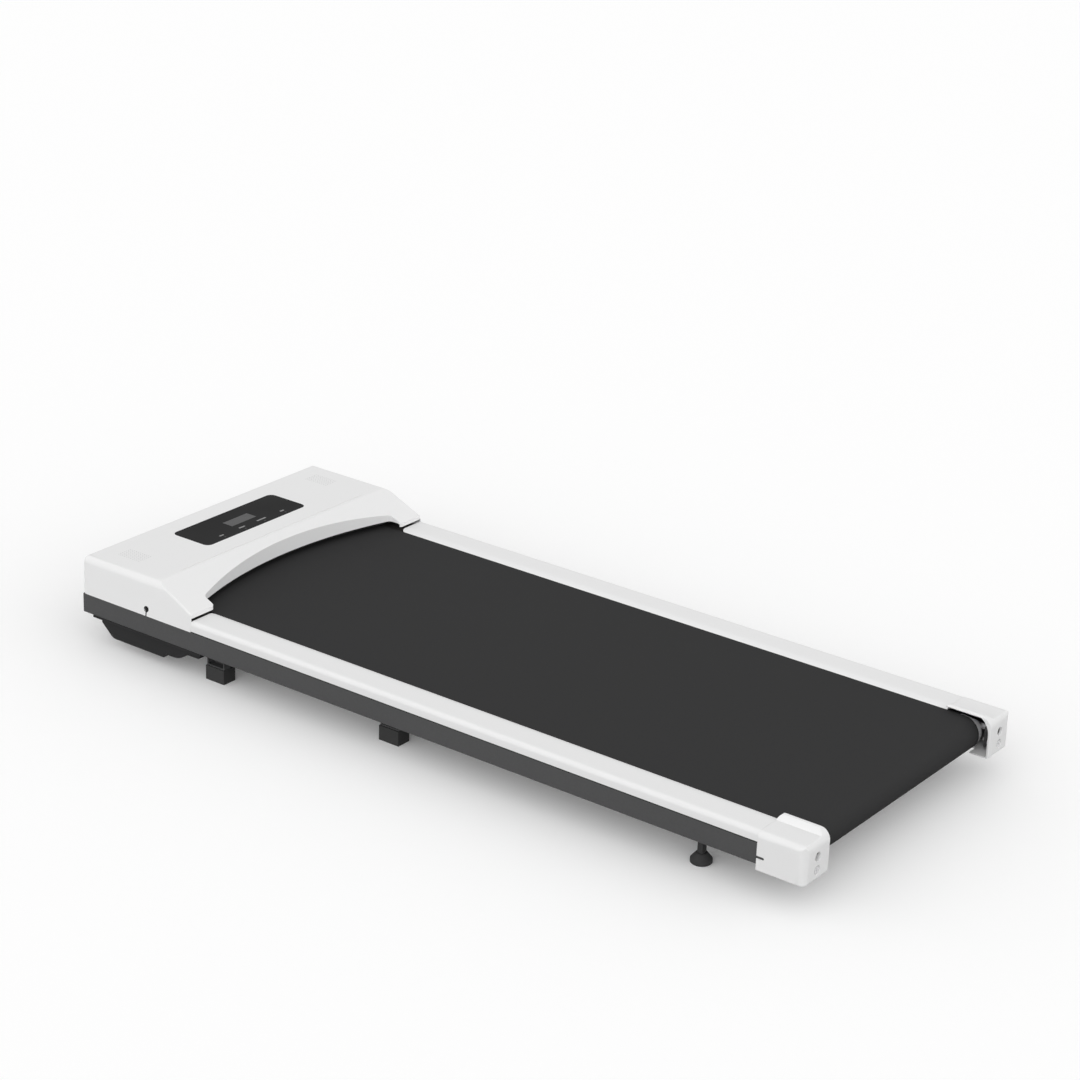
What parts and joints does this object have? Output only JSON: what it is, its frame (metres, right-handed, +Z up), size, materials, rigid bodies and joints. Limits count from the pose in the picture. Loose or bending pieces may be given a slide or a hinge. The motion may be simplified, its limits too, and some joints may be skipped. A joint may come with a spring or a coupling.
{
  "type": "walking pad",
  "caption": "Low under-desk treadmill without handrails: a moulded motor hood with an arched rear, a wide walking belt, ribbed foot rails and end caps on a low steel frame.",
  "frame": {"origin": "on the floor, below the middle of the machine's box", "axes": "+X from the motor hood to the step-on end, +Y to the side of the drive pulleys, +Z up"},
  "size_m": [1.233, 0.5168, 0.132],
  "materials": {
    "white_plastic": "satin",
    "black_steel": "satin",
    "bare_steel": "satin",
    "belt_rubber": "matte",
    "deck_wood": "matte",
    "foot_rubber": "matte",
    "black_plastic": "matte",
    "panel_film": "gloss",
    "window_film": "gloss",
    "circuit_board": "satin",
    "bare_aluminium": "satin"
  },
  "bodies": {
    "machine": {"side_rail_left": "black_steel", "side_rail_right": "black_steel", "front_beam": "black_steel", "cross_tube_front": "black_steel", "cross_tube_middle": "black_steel", "cross_tube_rear": "black_steel", "axle_carrier_left": "bare_steel", "axle_carrier_right": "bare_steel", "tail_axle": "bare_steel", "drive_axle": "bare_steel", "walking_belt": "belt_rubber", "deck_board": "deck_wood", "deck_strip_left": "foot_rubber", "deck_strip_right": "foot_rubber", "foot_rail_left": "white_plastic", "foot_rail_right": "white_plastic", "end_cap_left": "white_plastic", "end_cap_right": "white_plastic", "cap_screws": "bare_steel", "motor_hood": "white_plastic", "control_panel": "panel_film", "display_window": "window_film", "display_board": "circuit_board", "speaker_left": "black_plastic", "speaker_right": "black_plastic", "motor_housing": "black_steel", "motor_cradle": "bare_steel", "drive_belt": "foot_rubber", "base_plate": "bare_steel", "controller_board": "circuit_board", "heat_sink": "bare_aluminium", "belly_pan": "black_plastic", "pan_screws": "bare_steel", "power_inlet": "black_plastic", "switch_housing": "black_plastic", "breaker_body": "black_plastic", "front_foot_left": "foot_rubber", "front_foot_right": "foot_rubber", "middle_foot_left": "foot_rubber", "middle_foot_right": "foot_rubber", "wheel_axles": "bare_steel", "hood_screws": "bare_steel", "deck_screws": "bare_steel"},
    "drive_roller_set": {"drive_roller": "bare_steel", "drive_roller_bearings": "bare_steel", "roller_pulley": "bare_aluminium"},
    "tail_roller_set": {"tail_roller": "bare_steel", "tail_roller_bearings": "bare_steel"},
    "motor_rotor_set": {"motor_rotor": "bare_steel", "motor_pulley": "bare_aluminium", "cooling_fan": "black_plastic"},
    "tension_bolt_left": {"tension_bolt_left": "bare_steel"},
    "tension_bolt_right": {"tension_bolt_right": "bare_steel"},
    "power_rocker": {"power_rocker": "black_plastic"},
    "reset_button": {"reset_button": "black_plastic"},
    "levelling_foot_left": {"levelling_foot_left": "foot_rubber"},
    "levelling_foot_right": {"levelling_foot_right": "foot_rubber"},
    "transport_wheel_left": {"transport_wheel_left": "foot_rubber"},
    "transport_wheel_right": {"transport_wheel_right": "foot_rubber"}
  },
  "joints": [
    {"name": "drive_roller_spin", "type": "hinge", "parent": "machine", "child": "drive_roller_set", "pos_m": [-0.4955, 0, 0.0646], "axis": [0, 1, 0], "continuous": true},
    {"name": "tail_roller_spin", "type": "hinge", "parent": "machine", "child": "tail_roller_set", "pos_m": [0.5735, 0, 0.0646], "axis": [0, 1, 0], "continuous": true},
    {"name": "motor_spin", "type": "hinge", "parent": "machine", "child": "motor_rotor_set", "pos_m": [-0.5615, 0, 0.088], "axis": [0, 1, 0], "continuous": true},
    {"name": "tension_bolt_left_turn", "type": "hinge", "parent": "machine", "child": "tension_bolt_left", "pos_m": [0.6, -0.2297, 0.0705], "axis": [1, 0, 0], "range_deg": [-720, 720]},
    {"name": "tension_bolt_right_turn", "type": "hinge", "parent": "machine", "child": "tension_bolt_right", "pos_m": [0.6, 0.2297, 0.0705], "axis": [1, 0, 0], "range_deg": [-720, 720]},
    {"name": "power_rocker_tilt", "type": "hinge", "parent": "machine", "child": "power_rocker", "pos_m": [-0.607, -0.132, 0.1004], "axis": [0, 1, 0], "range_deg": [-8, 8]},
    {"name": "reset_button_press", "type": "slide", "parent": "machine", "child": "reset_button", "axis": [1, 0, 0], "range_m": [0, 0.002], "stiffness_N_per_m": 600, "springref_m": -0.001},
    {"name": "levelling_foot_left_height", "type": "slide", "parent": "machine", "child": "levelling_foot_left", "axis": [0, 0, 1], "range_m": [-0.008, 0.004]},
    {"name": "levelling_foot_right_height", "type": "slide", "parent": "machine", "child": "levelling_foot_right", "axis": [0, 0, 1], "range_m": [-0.008, 0.004]},
    {"name": "transport_wheel_left_spin", "type": "hinge", "parent": "machine", "child": "transport_wheel_left", "pos_m": [-0.5695, -0.15, 0.027], "axis": [0, 1, 0], "continuous": true},
    {"name": "transport_wheel_right_spin", "type": "hinge", "parent": "machine", "child": "transport_wheel_right", "pos_m": [-0.5695, 0.15, 0.027], "axis": [0, 1, 0], "continuous": true}
  ],
  "couplings": [
    {"joint": "tail_roller_spin", "follows": "drive_roller_spin", "ratio": 1},
    {"joint": "motor_spin", "follows": "drive_roller_spin", "ratio": 2.3095}
  ]
}
